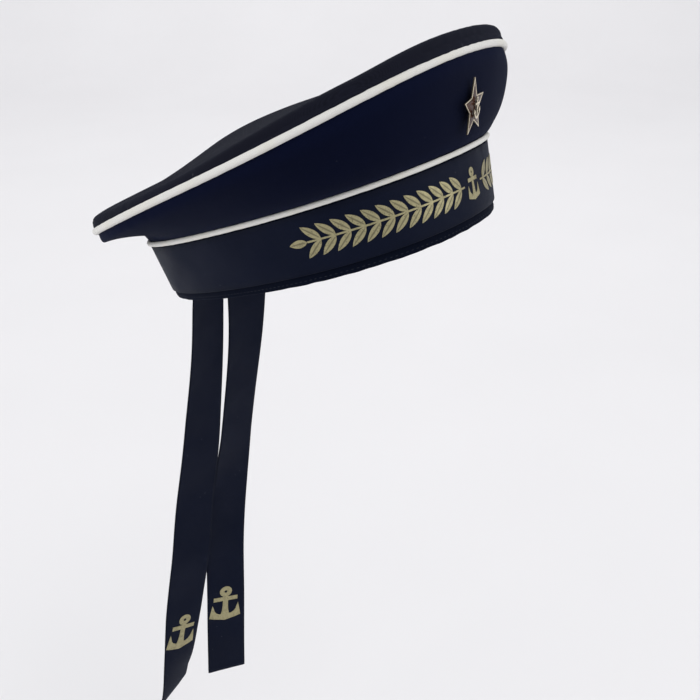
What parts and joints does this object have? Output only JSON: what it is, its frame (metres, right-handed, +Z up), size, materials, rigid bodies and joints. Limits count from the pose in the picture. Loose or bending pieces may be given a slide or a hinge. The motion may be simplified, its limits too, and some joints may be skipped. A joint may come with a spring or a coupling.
{
  "type": "sailor cap",
  "caption": "Soft round sailor cap with a raised front, white piping, a straight band, a ribbon whose two ends hang at the back, and a star badge on the front.",
  "frame": {"origin": "Middle of the head opening, at the band's lower edge, where the cap sits on a head.", "axes": "+Z up with the cap worn leaning 19 degrees back, front is -Y, the wearer's left is +X, and the ribbon's ends hang along -Z."},
  "size_m": [0.2446, 0.2513, 0.5517],
  "materials": {
    "crown_cloth": "matt near-black navy wool cloth with a fine twill",
    "band_cloth": "matt near-black navy wool cloth",
    "ribbon_satin": "navy ribbon with a fine cross rib and a soft sheen",
    "piping_cloth": "white cloth piping, matt",
    "gilt_brass": "pale gilt, a little worn",
    "red_enamel": "deep brown-red enamel, glossy",
    "plain_steel": "plain metal"
  },
  "bodies": {
    "root": {"band": "band_cloth", "ribbon_loop": "ribbon_satin", "lower_piping": "piping_cloth", "crown_wall": "crown_cloth", "upper_piping": "piping_cloth", "crown_top": "crown_cloth", "star_body": "gilt_brass", "star_enamel": "red_enamel", "star_anchor": "gilt_brass", "badge_post": "plain_steel", "ribbon_end_right": "ribbon_satin", "ribbon_end_left": "ribbon_satin"}
  },
  "joints": []
}
